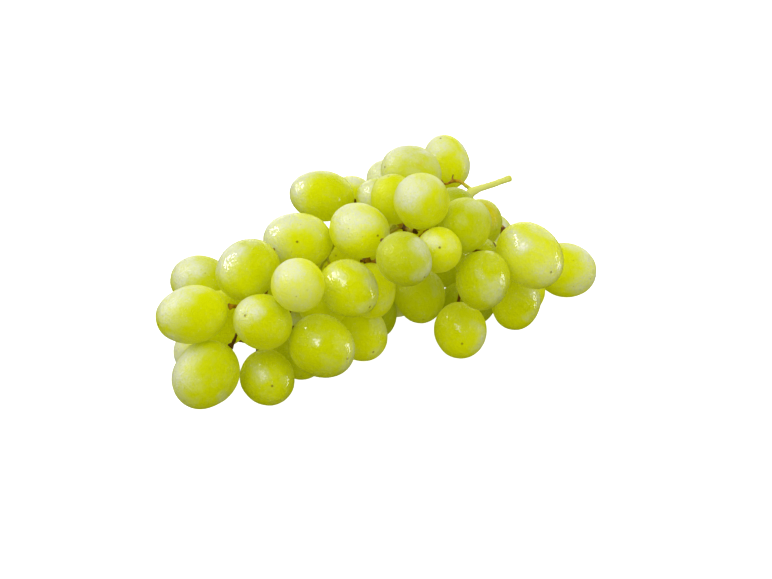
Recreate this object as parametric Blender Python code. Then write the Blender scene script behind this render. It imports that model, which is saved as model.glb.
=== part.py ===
"""A bunch of white grapes lying on its side, built in metres with +Z up.

Every grape is a solid of its own. The stem is one solid: the cut stalk, the main
stem that runs through the bunch, its side branches and one thin stalk to each grape.
"""

import heapq
import math

import bmesh
import bpy
import numpy as np
from mathutils import Matrix, Quaternion, Vector

MM = 0.001

# Viewing side, in millimetres: the grapes of that side are given by where they stand
# across and up a picture plane through the middle, and by how high they lie.
EYE_RISE = math.radians(30.0)
EYE_AWAY = 850.0
LENGTH_TURN = math.radians(-40.0)

# Grapes
GRAPE_GAP = 0.42
FLOOR_SINK = 0.35
FLOOR_HEIGHT = 13.5
BACK_GIRTH = 22.5
BACK_LENGTH = 25.0
SHOULDER = 0.045
SEAT_ROOM = 2.2
GRAPE_SIDES = 14
GRAPE_RINGS = 8
BACK_SIDES = 12
BACK_RINGS = 7

# Stem
TWIG_RADIUS = 0.62
SEAT_RADIUS = 1.4
SEAT_GAP = 0.4
STEM_GAP = 0.38
GRID_STEP = 1.5
IN_SIGHT_PRICE = 9.0

# across, up, height, girth and length as they look from the viewing side, and the way
# the far end points: across, up, to the viewer
FRONT_GRAPES = [
    # the low end of the bunch, at the left
    (-76.9, -36.2, 15, 27.3, 30.7, (-0.62, -0.72, 0.30)),
    (-50.1, -37.3, 12, 23.3, 24.8, (0.33, -0.45, 0.80)),
    (-52.6, -13.8, 36, 23.6, 25.6, (-0.55, 0.25, 0.80)),
    (-82.6, -10.9, 39, 24.7, 30.7, (-0.94, -0.20, 0.20)),
    (-79.0, 3.2, 33, 23.0, 26.4, (-0.90, 0.25, -0.20)),
    (-59.0, 8.5, 47, 25.1, 28.1, (-0.60, -0.50, 0.60)),
    (-37.5, 1.9, 51, 23.0, 25.0, (0.10, 0.10, 1.00)),
    (-66.9, -15.1, 26, 24.6, 26.0, (-0.60, -0.20, 0.20)),
    (-77.5, -26.6, 11, 22.2, 23.9, (-0.80, -0.30, 0.00)),
    # the front of the middle
    (-27.3, -24.1, 24, 26.4, 29.4, (0.76, -0.44, 0.45)),
    (-36.6, -26.6, 11, 22.6, 23.9, (0.00, -0.60, 0.40)),
    (-15.8, 0.4, 43, 23.9, 26.8, (0.60, -0.55, 0.60)),
    (-10.7, -18.5, 15, 23.0, 24.7, (0.48, -0.67, 0.50)),
    (-6.4, -0.6, 32, 20.4, 23.9, (0.10, -0.95, 0.20)),
    (-5.1, -10.0, 11, 20.9, 22.2, (0.20, -0.60, 0.20)),
    # the top of the middle
    (-36.3, 21.2, 49, 24.3, 30.2, (-0.82, 0.10, 0.56)),
    (-12.4, 24.3, 54, 23.7, 26.4, (0.65, -0.17, 0.70)),
    (-26.8, 39.8, 52, 22.0, 28.3, (-0.86, 0.13, 0.48)),
    (-13.6, 36.8, 40, 20.9, 23.0, (-0.20, 0.90, 0.00)),
    (-3.0, 37.5, 46, 19.3, 21.3, (-0.60, 0.50, 0.20)),
    (3.4, 38.6, 54, 20.0, 21.3, (-0.20, 0.80, 0.40)),
    (1.5, 44.1, 42, 19.2, 21.3, (-0.50, 0.80, 0.00)),
    (10.7, 50.1, 62, 22.6, 26.4, (-0.80, 0.25, 0.45)),
    (25.6, 54.1, 46, 20.0, 23.9, (-0.25, 0.95, -0.10)),
    (15.1, 37.7, 64, 23.3, 24.4, (-0.10, 0.30, 0.94)),
    # round the stalk
    (28.5, 32.8, 46, 20.9, 22.2, (0.20, 0.30, 0.90)),
    (33.4, 27.5, 49.5, 22.2, 23.2, (-0.30, -0.60, 0.74)),
    (39.2, 27.8, 33.5, 20.2, 21.4, (0.50, 0.70, -0.30)),
    (38.3, 13.0, 32, 19.2, 20.4, (0.10, -0.45, 0.88)),
    (22.4, 16.8, 46, 19.0, 21.0, (0.03, 0.08, 1.00)),
    (7.7, 12.9, 50, 22.1, 23.9, (0.62, -0.55, 0.56)),
    # the near shoulder, at the right
    (14.1, -3.0, 19, 21.7, 23.9, (0.10, -0.80, 0.50)),
    (61.3, 14.3, 39, 26.0, 30.7, (0.60, -0.64, 0.45)),
    (76.0, 8.1, 14, 23.6, 26.4, (0.95, -0.20, 0.10)),
    (55.4, -5.1, 16, 21.5, 24.7, (-0.15, -0.95, 0.20)),
    (55.8, 0.6, 12, 22.2, 23.9, (0.50, -0.40, -0.50)),
    (32.2, -16.2, 12, 22.8, 24.4, (0.04, -0.72, 0.69)),
    (41.3, 4.0, 35, 22.6, 25.2, (-0.20, -0.70, 0.60)),
    (27.3, 10.9, 19, 20.9, 23.0, (0.10, -0.60, 0.40)),
    (34.5, -3.2, 11, 22.4, 23.9, (0.10, -0.80, 0.00)),
    # deep in the gaps
    (-21.8, 12.2, 35, 21.0, 23.0, (0.00, 0.00, 0.80)),
    (-26.8, -6.2, 28, 21.3, 23.0, (0.00, -0.50, 0.80)),
    (-50.3, -0.2, 28, 20.9, 23.0, (-0.10, 0.00, 0.80)),
]

# The far side and the underside: across, away, height
BACK_GRAPES = [
    (-62, -46, 12),
    (-50, -30, 12),
    (-38, -48, 12),
    (-32, -13, 12),
    (-22, -30, 12),
    (-12, 6, 12),
    (2, -16, 12),
    (8, 18, 12),
    (24, 8, 12),
    (26, 32, 12),
    (34, 23, 12),
    (50, 4, 12),
    (-40, -30, 25),
    (10, 22, 29),
    (-3, 0, 27),
]

# Main stem, from its cut end: across, up, height, radius
STALK_LINE = [
    (52.9, 47.4, 45.0, 1.52),
    (52.0, 47.1, 45.0, 1.48),
    (49.5, 46.2, 45.0, 1.36),
    (44.3, 44.4, 45.0, 1.36),
    (39.5, 42.9, 45.0, 1.50),
    (36.6, 41.6, 44.6, 1.95),
    (34.6, 39.6, 43.0, 2.15),
    (32.8, 37.0, 40.5, 2.00),
]
# and on through the bunch: across, away, height, radius
MAIN_LINE = [
    (24.0, -4.0, 34.0, 1.70),
    (10.0, -18.0, 31.0, 1.60),
    (-6.0, -30.0, 29.0, 1.50),
    (-20.0, -42.0, 28.0, 1.40),
    (-34.0, -54.0, 27.0, 1.25),
    (-44.0, -64.0, 26.5, 1.10),
    (-51.0, -72.0, 26.5, 0.95),
]

# Side stalks that show: across, up, height, radius
SHOWN_STALKS = [
    # the dried one beside the cut stalk, and the thorn on it
    [
        (36.2, 42.6, 44.8, 1.05),
        (33.6, 44.6, 45.2, 0.85),
        (31.4, 46.1, 45.4, 0.70),
        (28.6, 46.3, 45.4, 0.80),
        (26.2, 45.1, 45.4, 0.55),
        (23.6, 44.7, 45.6, 0.50),
    ],
    [
        (28.6, 46.0, 45.4, 0.60),
        (28.3, 47.4, 45.4, 0.42),
        (28.6, 48.9, 45.4, 0.24),
    ],
    # in the gap under the top grapes
    [
        (9.4, 17.0, 31.5, 1.10),
        (8.6, 22.0, 38.0, 0.95),
        (7.9, 26.2, 43.5, 1.00),
        (10.6, 25.0, 45.5, 0.70),
        (13.2, 24.2, 47.0, 0.75),
    ],
    [
        (7.9, 26.2, 43.5, 0.90),
        (6.4, 28.8, 44.8, 0.60),
        (3.4, 29.7, 45.5, 0.58),
        (0.9, 30.4, 46.0, 0.70),
    ],
    # a seat there that has lost its grape
    [
        (7.4, 26.4, 43.5, 0.60),
        (4.8, 26.0, 43.8, 0.60),
        (3.4, 26.6, 46.4, 0.85),
        (3.0, 27.0, 47.4, 1.60),
    ],
    # to the big grape of the near shoulder
    [
        (36.0, 26.0, 30.0, 0.75),
        (42.5, 28.0, 34.0, 0.70),
        (46.5, 28.9, 37.0, 0.62),
        (48.6, 27.7, 39.0, 0.60),
        (49.8, 26.5, 40.0, 0.75),
    ],
    # and to the one below it
    [
        (40.0, 24.0, 31.0, 0.75),
        (44.6, 21.6, 33.0, 0.70),
        (46.4, 18.4, 35.0, 0.60),
        (47.5, 15.2, 37.5, 0.58),
    ],
    # at the low end of the bunch
    [
        (-51.0, -12.0, 28.0, 0.90),
        (-57.5, -8.2, 37.5, 0.80),
        (-63.0, -7.2, 40.5, 0.78),
        (-65.8, -7.2, 41.5, 0.80),
    ],
    [
        (-54.5, -10.0, 33.0, 0.70),
        (-59.6, -13.4, 32.0, 0.62),
        (-63.4, -18.6, 30.0, 0.60),
        (-64.6, -21.6, 28.6, 0.60),
    ],
]

GRAPE_GREEN = (0.52, 0.60, 0.10)
STEM_GREEN = (0.42, 0.40, 0.13)

VIEW_RIGHT = np.array([1.0, 0.0, 0.0])
VIEW_UP = np.array([0.0, math.sin(EYE_RISE), math.cos(EYE_RISE)])
VIEW_AWAY = np.array([0.0, math.cos(EYE_RISE), -math.sin(EYE_RISE)])
EYE = -EYE_AWAY * VIEW_AWAY


def on_view_line(across, up, height):
    """The point at this height on the line from the eye through the picture plane."""
    line = EYE_AWAY * VIEW_AWAY + across * VIEW_RIGHT + up * VIEW_UP
    return EYE + line * (height - EYE[2]) / line[2]


def unit(rows):
    rows = np.asarray(rows, float)
    return rows / np.maximum(np.linalg.norm(rows, axis=-1, keepdims=True), 1e-9)


def reach(half_girth, half_length, axes, ways):
    """How far a grape reaches along each way: the plane that just touches it."""
    along = np.sum(axes * ways, axis=-1) ** 2
    return np.sqrt(half_girth**2 * (1.0 - along) + half_length**2 * along)


def polyline_points(line, step):
    """Points at this spacing on the line, with the thickness of each."""
    found = []
    for start, end in zip(line[:-1], line[1:]):
        start = np.array(start, float)
        end = np.array(end, float)
        count = max(1, int(np.linalg.norm(end[:3] - start[:3]) / step))
        found += [start + (end - start) * i / count for i in range(count)]
    return np.array(found + [np.array(line[-1], float)])


def seen_line(knots):
    """A line of points and radii given in the picture plane."""
    return [(*on_view_line(across, up, height), radius) for across, up, height, radius in knots]


def tied(knots, wood):
    """The line with its start carried to the nearest wood."""
    start = np.array(knots[0][:3])
    nearest = wood[np.argmin(np.linalg.norm(wood[:, :3] - start, axis=1))]
    if np.linalg.norm(nearest[:3] - start) < 0.3:
        return knots
    return [(*nearest[:3], knots[0][3]), *knots]


def grape_starts():
    """First places, half sizes, far-end ways and view lines of all grapes."""
    places, girths, lengths, ways, lines = [], [], [], [], []
    for across, up, height, girth, length, way in FRONT_GRAPES:
        place = on_view_line(across, up, height)
        share = float((place - EYE) @ VIEW_AWAY) / EYE_AWAY
        way = unit(way)
        flat = max(1.0 - way[2] ** 2, 0.05)
        slim = math.sqrt(max((length**2 - girth**2 * (1.0 - flat)) / flat, 0.0)) / girth
        places.append(place)
        girths.append(0.5 * girth * share)
        lengths.append(0.5 * girth * share * min(max(slim, 1.06), 1.08 + 0.34 * flat))
        ways.append(way[0] * VIEW_RIGHT + way[1] * VIEW_UP - way[2] * VIEW_AWAY)
        lines.append(unit(place - EYE))
    for index, (across, away, height) in enumerate(BACK_GRAPES):
        size = 1.0 + 0.05 * math.sin(2.4 * index)
        places.append(np.array([across, away, height], float))
        girths.append(0.5 * BACK_GIRTH * size)
        lengths.append(0.5 * BACK_LENGTH * size)
        ways.append(np.zeros(3))
        lines.append(np.zeros(3))
    return (np.array(places), np.array(girths), np.array(lengths),
            np.array(ways), np.array(lines))


def away_from_stem(places, stem):
    """For each grape, the way from the nearest point of the main stem."""
    gaps = places[:, None, :] - stem[None, :, :3]
    nearest = np.argmin(np.linalg.norm(gaps, axis=2), axis=1)
    return gaps[np.arange(len(places)), nearest]


def settle(stem):
    """Pushes the grapes apart, off the table and clear of the main stem."""
    places, girths, lengths, ways, lines = grape_starts()
    front = np.linalg.norm(lines, axis=1) > 0.5
    starts = places.copy()
    resting = starts[:, 2] <= FLOOR_HEIGHT
    count = len(places)
    give = np.where(front, 0.35, 1.0)
    share = give[:, None] / (give[:, None] + give[None, :])
    rounds = 1500
    for turn in range(rounds):
        outward = unit(away_from_stem(places, stem))
        axes = np.where(front[:, None], unit(ways), outward)
        push = np.zeros_like(places)
        # apart from each other
        between = places[None, :, :] - places[:, None, :]
        apart = np.linalg.norm(between, axis=2) + np.eye(count) * 1e6
        toward = between / apart[:, :, None]
        mine = reach(girths[:, None], lengths[:, None], axes[:, None, :], toward)
        need = mine + mine.T + GRAPE_GAP + 0.05
        over = np.maximum(need - apart, 0.0)
        push -= np.sum(toward * (over * share)[:, :, None], axis=1)
        # room for the stalk where each grape is seated
        seats = places - axes * (lengths + SEAT_ROOM)[:, None]
        between = places[None, :, :] - seats[:, None, :]
        apart = np.linalg.norm(between, axis=2) + np.eye(count) * 1e6
        toward = between / apart[:, :, None]
        other = reach(girths[None, :], lengths[None, :], axes[None, :, :], toward)
        over = np.maximum(other + SEAT_ROOM - apart, 0.0)
        shove = toward * (0.5 * over)[:, :, None]
        push += np.sum(shove, axis=0) - np.sum(shove, axis=1)
        # clear of the main stem
        between = places[:, None, :] - stem[None, :, :3]
        apart = np.linalg.norm(between, axis=2)
        toward = between / apart[:, :, None]
        mine = reach(girths[:, None], lengths[:, None], axes[:, None, :], toward)
        over = np.maximum(mine + stem[None, :, 3] + STEM_GAP + 0.6 - apart, 0.0)
        most = np.argmax(over, axis=1)
        rows = np.arange(count)
        push += toward[rows, most] * over[rows, most][:, None]
        places = places + 0.5 * push
        # on the table, and back to where each is seen
        low = reach(girths, lengths, axes, np.array([0.0, 0.0, -1.0])) - FLOOR_SINK
        places[:, 2] = np.where(resting, low, np.maximum(places[:, 2], low))
        pull = 0.3 if turn < 0.85 * rounds else 0.01
        along = np.sum((places - EYE) * lines, axis=1)
        down = (low - EYE[2]) / np.minimum(lines[:, 2], -0.1)
        on_line = EYE + lines * np.where(resting, down, along)[:, None]
        back = np.where(front[:, None], on_line - places, 0.1 * (starts - places))
        places += pull * back
    return places, girths, lengths, axes, front


def report_layout(places, girths, lengths, axes):
    toward = places[None, :, :] - places[:, None, :]
    apart = np.linalg.norm(toward, axis=2) + np.eye(len(places)) * 1e6
    toward /= apart[:, :, None]
    mine = reach(girths[:, None], lengths[:, None], axes[:, None, :], toward)
    rest = apart - mine - mine.T
    print("closest pair of grapes", round(float(rest.min()), 2), "mm,",
          int((rest < 0.3).sum() / 2), "pairs under 0.3 mm")


class StemGrid:
    """The free room between the grapes, as a grid of cells, and paths through it."""

    def __init__(self, places, girths, lengths, axes):
        self.places, self.girths, self.lengths, self.axes = places, girths, lengths, axes
        self.low = places.min(axis=0) - 8.0
        self.low[2] = 2.0
        high = places.max(axis=0) + 6.0
        self.shape = [int(n) for n in np.ceil((high - self.low) / GRID_STEP)]
        corners = np.stack(np.meshgrid(*[np.arange(n) for n in self.shape],
                                       indexing="ij"), axis=-1)
        points = self.low + corners.reshape(-1, 3) * GRID_STEP
        room = np.full(len(points), 1e3)
        for i in range(len(places)):
            gap = points - places[i]
            apart = np.maximum(np.linalg.norm(gap, axis=1), 1e-6)
            far = reach(girths[i], lengths[i], axes[i], gap / apart[:, None])
            room = np.minimum(room, apart - far)
        price = 1.0 + 0.6 * np.maximum(0.0, 2.2 - room)
        free = (room >= TWIG_RADIUS + STEM_GAP) & (room < 9.0)
        price[free & self.in_sight(points, free)] *= IN_SIGHT_PRICE
        edge = np.any((corners == 0) | (corners == np.array(self.shape) - 1), axis=-1)
        price[~free | edge.reshape(-1)] = 1e9
        self.price = price.tolist()
        self.steps = []
        for dx in (-1, 0, 1):
            for dy in (-1, 0, 1):
                for dz in (-1, 0, 1):
                    offset = (dx * self.shape[1] + dy) * self.shape[2] + dz
                    if offset:
                        self.steps.append((offset, GRID_STEP * math.hypot(dx, dy, dz)))

    def in_sight(self, points, wanted):
        """Which of the wanted points no grape hides from the viewing side."""
        open_line = np.zeros(len(points), bool)
        rows = np.flatnonzero(wanted)
        here = points[rows]
        toward = unit(EYE - here)
        clear = np.ones(len(rows), bool)
        for i in range(len(self.places)):
            axis = self.axes[i]
            squeeze = self.girths[i] / self.lengths[i] - 1.0
            gap = here - self.places[i]
            gap = gap + np.outer(gap @ axis, axis) * squeeze
            way = toward + np.outer(toward @ axis, axis) * squeeze
            a = np.sum(way * way, axis=1)
            b = np.sum(way * gap, axis=1)
            c = np.sum(gap * gap, axis=1) - (self.girths[i] - TWIG_RADIUS) ** 2
            clear &= ~((b < 0.0) & (b * b > a * c))
        open_line[rows] = clear
        return open_line

    def clearance(self, points):
        """Distance from each point to the nearest grape, never overstated."""
        gap = np.atleast_2d(points)[:, None, :] - self.places[None]
        apart = np.maximum(np.linalg.norm(gap, axis=2), 1e-6)
        far = reach(self.girths[None], self.lengths[None], self.axes[None],
                    gap / apart[:, :, None])
        return np.min(apart - far, axis=1)

    def cell(self, point):
        x, y, z = (int(round(v)) for v in (point - self.low) / GRID_STEP)
        return (x * self.shape[1] + y) * self.shape[2] + z

    def point(self, cell):
        rest, z = divmod(cell, self.shape[2])
        x, y = divmod(rest, self.shape[1])
        return self.low + np.array([x, y, z]) * GRID_STEP

    def path(self, start, targets):
        """The cheapest free way from start to the nearest cell of targets."""
        first = self.cell(start)
        queue = [(0.0, first)]
        cost = {first: 0.0}
        before = {}
        while queue:
            spent, here = heapq.heappop(queue)
            if spent > cost[here]:
                continue
            if here in targets:
                cells = [here]
                while cells[-1] in before:
                    cells.append(before[cells[-1]])
                return here, [self.point(c) for c in cells[::-1]]
            for offset, far in self.steps:
                cell = here + offset
                share = 1.0 if cell in targets else self.price[cell]
                if share > 1e6:
                    continue
                total = spent + far * share
                if total < cost.get(cell, 1e9):
                    cost[cell] = total
                    before[cell] = here
                    heapq.heappush(queue, (total, cell))
        return None, []


def smooth_path(points, grid, radius):
    """Draws the path tight, keeping its two ends and its distance from the grapes."""
    points = np.array(points, float)
    for _ in range(80):
        moved = points.copy()
        moved[1:-1] += 0.5 * (0.5 * (points[:-2] + points[2:]) - points[1:-1])
        fine = grid.clearance(moved) >= radius + STEM_GAP
        fine[0] = fine[-1] = False
        points = np.where(fine[:, None], moved, points)
    return points


def thin_out(points, grid, radius):
    """As few points as keep the straight pieces between them off the grapes."""
    lengths = np.linalg.norm(np.diff(points, axis=0), axis=1)
    run = np.concatenate([[0.0], np.cumsum(lengths)])
    fewest = max(1, int(run[-1] / 7.0))
    for count in range(fewest, 4 * fewest + 12):
        marks = np.linspace(0.0, run[-1], count + 1)
        found = np.stack([np.interp(marks, run, points[:, k]) for k in range(3)], axis=1)
        fine = np.linspace(0.0, 1.0, 9)[None, :, None]
        between = found[:-1, None, :] * (1.0 - fine) + found[1:, None, :] * fine
        if grid.clearance(between.reshape(-1, 3)).min() >= radius + 0.3:
            break
    return found


def grow_twigs(places, girths, lengths, axes, stem, wooden):
    """One thin stalk for each grape, from its seat to the nearest wood."""
    grid = StemGrid(places, girths, lengths, axes)
    wood = {}
    for point in wooden:
        wood[grid.cell(point[:3])] = point[:3]
    seats = places - axes * (lengths + SEAT_GAP)[:, None]
    leads = places - axes * (lengths + SEAT_ROOM)[:, None]
    order = np.argsort(np.linalg.norm(away_from_stem(leads, stem), axis=1))
    twigs = []
    for index in order:
        cell, points = grid.path(leads[index], wood)
        if cell is None:
            print("no way for the stalk of grape", index + 1)
            continue
        points[-1] = wood[cell]
        points[0] = leads[index]
        if len(points) > 1:
            points = thin_out(smooth_path(points, grid, TWIG_RADIUS), grid, TWIG_RADIUS)
        twigs.append((int(index), seats[index], points))
        # later stalks may join this one anywhere but close to its grape
        run = 0.0
        for spot in polyline_points(points, 1.0):
            run += 1.0
            if run > 4.0:
                wood[grid.cell(spot)] = spot
    return twigs


def clear_scene():
    for thing in list(bpy.data.objects):
        bpy.data.objects.remove(thing, do_unlink=True)
    for mesh in list(bpy.data.meshes):
        bpy.data.meshes.remove(mesh)


def material(name, colour, roughness):
    made = bpy.data.materials.new(name)
    made.use_nodes = True
    shader = made.node_tree.nodes["Principled BSDF"]
    shader.inputs["Base Color"].default_value = (*colour, 1.0)
    shader.inputs["Roughness"].default_value = roughness
    shader.inputs["Metallic"].default_value = 0.0
    made.diffuse_color = (*colour, 1.0)
    return made


def grape(name, place, half_girth, half_length, axis, skin, sides, rings):
    """An egg-shaped grape: broad at its seat, a little narrower at the far end."""
    bpy.ops.mesh.primitive_uv_sphere_add(segments=sides, ring_count=rings, radius=1.0)
    made = bpy.context.object
    made.name = name
    made.data.name = name
    shape = bmesh.new()
    shape.from_mesh(made.data)
    for corner in shape.verts:
        side = 1.0 + SHOULDER * corner.co.z * (1.0 - corner.co.z**2)
        corner.co.x *= half_girth * side
        corner.co.y *= half_girth * side
        corner.co.z *= half_length
    turn = Vector(-axis).to_track_quat("Z", "Y").to_matrix().to_4x4()
    shape.transform(Matrix.Translation(Vector(place)) @ turn)
    if min(corner.co.z for corner in shape.verts) < 0.0:
        parts = shape.verts[:] + shape.edges[:] + shape.faces[:]
        cut = bmesh.ops.bisect_plane(shape, geom=parts, plane_co=(0, 0, 0),
                                     plane_no=(0, 0, -1), clear_outer=True)
        rim = [e for e in cut["geom_cut"] if isinstance(e, bmesh.types.BMEdge)]
        bmesh.ops.edgenet_fill(shape, edges=rim)
        bmesh.ops.remove_doubles(shape, verts=shape.verts[:], dist=0.02)
    shape.normal_update()
    bmesh.ops.recalc_face_normals(shape, faces=shape.faces[:])
    shape.to_mesh(made.data)
    shape.free()
    made.data.materials.append(skin)
    return made


def tube(name, points, radii, rounds):
    """A closed round tube through the points, as a mesh."""
    curve = bpy.data.curves.new(name, "CURVE")
    curve.dimensions = "3D"
    curve.bevel_depth = 1.0
    curve.bevel_resolution = rounds
    curve.use_fill_caps = True
    curve.resolution_u = 1
    spline = curve.splines.new("POLY")
    spline.points.add(len(points) - 1)
    for knot, point, radius in zip(spline.points, points, radii):
        knot.co = (*point, 1.0)
        knot.radius = radius
    drawn = bpy.data.objects.new(name + "_line", curve)
    bpy.context.scene.collection.objects.link(drawn)
    bpy.context.view_layer.update()
    graph = bpy.context.evaluated_depsgraph_get()
    mesh = bpy.data.meshes.new_from_object(drawn.evaluated_get(graph))
    shape = bmesh.new()
    shape.from_mesh(mesh)
    bmesh.ops.remove_doubles(shape, verts=shape.verts[:], dist=0.01)
    shape.normal_update()
    bmesh.ops.recalc_face_normals(shape, faces=shape.faces[:])
    shape.to_mesh(mesh)
    shape.free()
    made = bpy.data.objects.new(name, mesh)
    made.matrix_world = drawn.matrix_world
    bpy.data.objects.remove(drawn, do_unlink=True)
    bpy.data.curves.remove(curve)
    return made


def stem_object(line, shown, twigs, bark):
    """The main stem with every side stalk joined to it in one union."""
    line = np.array(line, float)
    main = tube("stem", line[:, :3], line[:, 3], 2)
    bpy.context.scene.collection.objects.link(main)
    sides = bpy.data.collections.new("side_stalks")
    bpy.context.scene.collection.children.link(sides)
    for knots in shown:
        knots = np.array(knots, float)
        sides.objects.link(tube("shown_stalk", knots[:, :3], knots[:, 3], 1))
    for index, seat, rest in twigs:
        lead = rest[0]
        points = [seat, seat + 0.42 * (lead - seat), *rest]
        radii = [SEAT_RADIUS, SEAT_RADIUS * 0.9] + [TWIG_RADIUS] * len(rest)
        radii[2] = TWIG_RADIUS * 1.12
        radii[-1] = TWIG_RADIUS * 1.2
        sides.objects.link(tube("stalk_%02d" % (index + 1), points, radii, 1))
    join = main.modifiers.new("side_stalks", "BOOLEAN")
    join.operation = "UNION"
    join.operand_type = "COLLECTION"
    join.collection = sides
    join.solver = "EXACT"
    join.use_self = True
    bpy.context.view_layer.objects.active = main
    bpy.ops.object.modifier_apply(modifier=join.name)
    for thing in list(sides.objects):
        bpy.data.objects.remove(thing, do_unlink=True)
    bpy.data.collections.remove(sides)
    main.data.materials.clear()
    main.data.materials.append(bark)
    return main


def turn_and_centre(things):
    """Lays the length along X, puts the box's middle over the origin, and goes to metres."""
    turn = Matrix.Rotation(LENGTH_TURN, 4, "Z")
    for thing in things:
        thing.data.transform(turn)
    corners = np.array([corner.co[:] for thing in things for corner in thing.data.vertices])
    middle = 0.5 * (corners.min(axis=0) + corners.max(axis=0))
    middle[2] = 0.0
    print("turned by", round(math.degrees(LENGTH_TURN), 1), "and moved by",
          np.round(-middle, 2), "mm; box", np.round(corners.max(axis=0) - corners.min(axis=0), 1))
    place = Matrix.Diagonal((MM, MM, MM, 1.0)) @ Matrix.Translation(Vector(-middle))
    for thing in things:
        thing.data.transform(place)


def build():
    clear_scene()
    skin = material("grape_skin", GRAPE_GREEN, 0.35)
    bark = material("green_stem", STEM_GREEN, 0.6)
    stalk = seen_line(STALK_LINE)
    line = stalk + list(MAIN_LINE)
    inside = polyline_points(line[5:], 1.2)
    shown = []
    wood = inside
    for knots in SHOWN_STALKS:
        knots = tied(seen_line(knots), wood)
        shown.append(knots)
        wood = np.concatenate([wood, polyline_points(knots, 1.2)])
    sides = wood[len(inside):]
    stem = np.concatenate([polyline_points(line, 1.5), sides])
    places, girths, lengths, axes, front = settle(stem)
    report_layout(places, girths, lengths, axes)
    twigs = grow_twigs(places, girths, lengths, axes, inside,
                       np.concatenate([inside[8:], sides]))
    things = []
    for index in range(len(places)):
        sides, rings = (GRAPE_SIDES, GRAPE_RINGS) if front[index] else (BACK_SIDES, BACK_RINGS)
        things.append(grape("grape_%02d" % (index + 1), places[index], girths[index],
                            lengths[index], axes[index], skin, sides, rings))
    things.append(stem_object(line, shown, twigs, bark))
    turn_and_centre(things)


build()
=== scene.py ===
import math

import bmesh
import bpy
import numpy as np
from mathutils import Matrix, Vector
from mathutils.kdtree import KDTree


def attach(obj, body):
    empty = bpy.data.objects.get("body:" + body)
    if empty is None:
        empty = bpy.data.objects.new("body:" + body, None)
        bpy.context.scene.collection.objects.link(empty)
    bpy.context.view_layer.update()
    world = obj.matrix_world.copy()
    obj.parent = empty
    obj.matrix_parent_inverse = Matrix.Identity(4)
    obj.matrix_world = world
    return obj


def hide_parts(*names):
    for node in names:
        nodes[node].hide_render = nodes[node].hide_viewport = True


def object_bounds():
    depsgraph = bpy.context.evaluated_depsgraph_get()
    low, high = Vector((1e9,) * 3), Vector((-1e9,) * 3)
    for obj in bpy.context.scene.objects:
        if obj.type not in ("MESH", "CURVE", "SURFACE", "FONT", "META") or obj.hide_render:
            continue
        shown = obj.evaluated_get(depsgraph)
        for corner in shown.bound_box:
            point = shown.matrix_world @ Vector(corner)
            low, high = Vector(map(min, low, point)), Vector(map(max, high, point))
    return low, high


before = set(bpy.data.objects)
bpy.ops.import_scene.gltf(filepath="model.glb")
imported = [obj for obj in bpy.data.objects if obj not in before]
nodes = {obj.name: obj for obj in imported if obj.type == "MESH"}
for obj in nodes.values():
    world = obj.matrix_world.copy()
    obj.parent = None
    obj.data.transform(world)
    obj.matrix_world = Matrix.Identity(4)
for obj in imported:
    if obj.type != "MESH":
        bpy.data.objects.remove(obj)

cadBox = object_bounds()
millimetre = 0.001
grapeNames = sorted(name for name in nodes if name.startswith("grape_"))


# small helpers for picking things by their place

def onlyActive(thing):
    for other in bpy.context.selected_objects:
        other.select_set(False)
    bpy.context.view_layer.objects.active = thing
    thing.select_set(True)


def inEditMode(thing):
    onlyActive(thing)
    bpy.ops.object.mode_set(mode="EDIT")
    bpy.ops.mesh.select_all(action="DESELECT")


def backToObjectMode():
    bpy.ops.object.mode_set(mode="OBJECT")


def pickVertices(thing, wanted):
    cage = bmesh.from_edit_mesh(thing.data)
    for face in cage.faces:
        face.select = False
    for edge in cage.edges:
        edge.select = False
    for corner in cage.verts:
        corner.select = wanted(corner.co)
    bmesh.update_edit_mesh(thing.data)


def pickFaces(thing, wanted):
    cage = bmesh.from_edit_mesh(thing.data)
    for face in cage.faces:
        face.select_set(False)
    for face in cage.faces:
        if wanted(face.calc_center_median()):
            face.select_set(True)
    bmesh.update_edit_mesh(thing.data)


def applyModifier(thing, modifier):
    onlyActive(thing)
    bpy.ops.object.modifier_apply(modifier=modifier.name)


def placesOf(mesh):
    found = np.empty(len(mesh.vertices) * 3, np.float32)
    mesh.vertices.foreach_get("co", found)
    return found.reshape(-1, 3).astype(float)


def putPlaces(mesh, places):
    mesh.vertices.foreach_set("co", places.astype(np.float32).ravel())
    mesh.update()


def setNumbers(mesh, name, values):
    layer = mesh.attributes.get(name) or mesh.attributes.new(name, "FLOAT", "POINT")
    layer.data.foreach_set("value", np.asarray(values, np.float32))


def setVectors(mesh, name, vectors):
    layer = mesh.attributes.get(name) or mesh.attributes.new(name, "FLOAT_VECTOR", "POINT")
    layer.data.foreach_set("vector", np.asarray(vectors, np.float32).ravel())


# camera, at the photo's viewing angle

cameraLook = {
    "rise": 30.0,            # degrees above the table
    "turn": -40.0,           # degrees about the upright
    "away": 0.850,           # metres from the point looked at
    "lookAt": (0.03121, 0.03218, 0.0),
    "pixelWidth": 0.000426,  # metres on a plane through that point
    "pixelsAcross": 772,
    "sensor": 36.0,          # millimetres
    "clip": (0.02, 60.0),
}

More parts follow.
